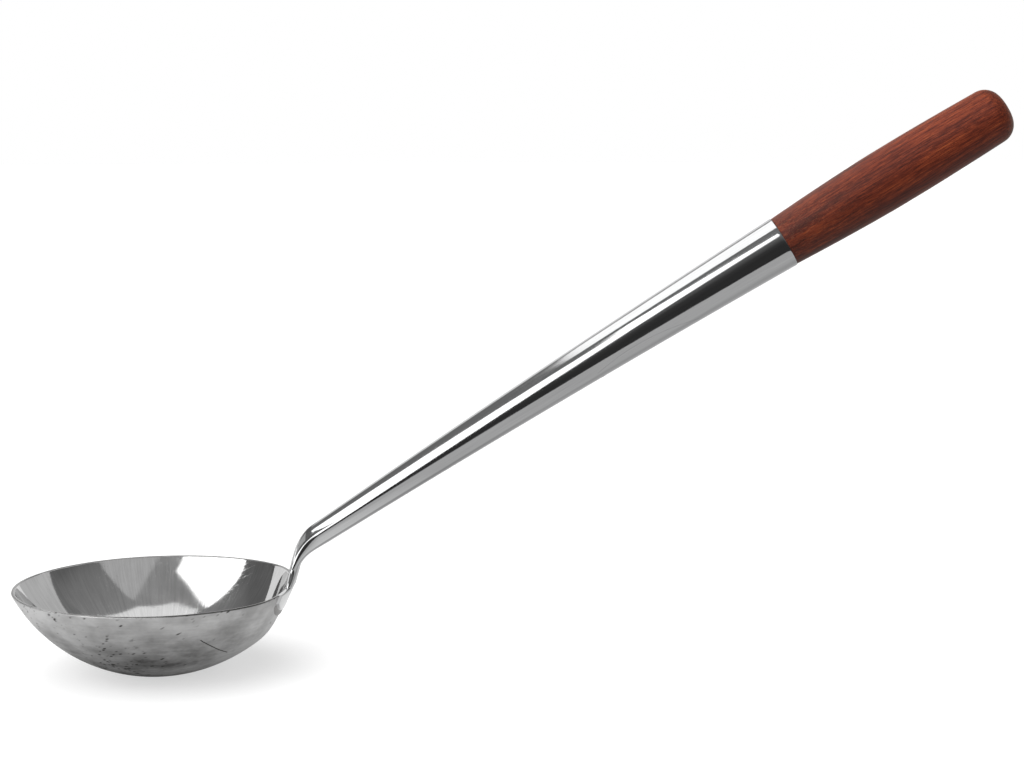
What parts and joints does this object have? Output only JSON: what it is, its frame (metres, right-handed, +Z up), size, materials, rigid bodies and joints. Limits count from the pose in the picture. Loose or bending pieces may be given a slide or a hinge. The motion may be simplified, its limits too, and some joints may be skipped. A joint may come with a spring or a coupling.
{
  "type": "wok ladle",
  "caption": "Long steel wok ladle: shallow round bowl, hollow tapered shank bent at the neck, and a turned wooden grip seated in the shank's mouth.",
  "frame": {"origin": "middle of the small flat under the bowl", "axes": "+Z up with the bowl's rim level, +X towards the grip, which rises in the plane Y = 0"},
  "size_m": [0.4157, 0.122, 0.2429],
  "materials": {
    "bowl_steel": "polished inside, satin and scuffed outside",
    "shank_steel": "mirror polished",
    "weld_steel": "ground",
    "grip_wood": "stained, satin",
    "brad_steel": "plain"
  },
  "bodies": {
    "root": {"bowl": "bowl_steel", "shank": "shank_steel", "seam_weld": "shank_steel", "tongue_weld": "weld_steel", "grip": "grip_wood", "retaining_brad": "brad_steel"}
  },
  "joints": []
}
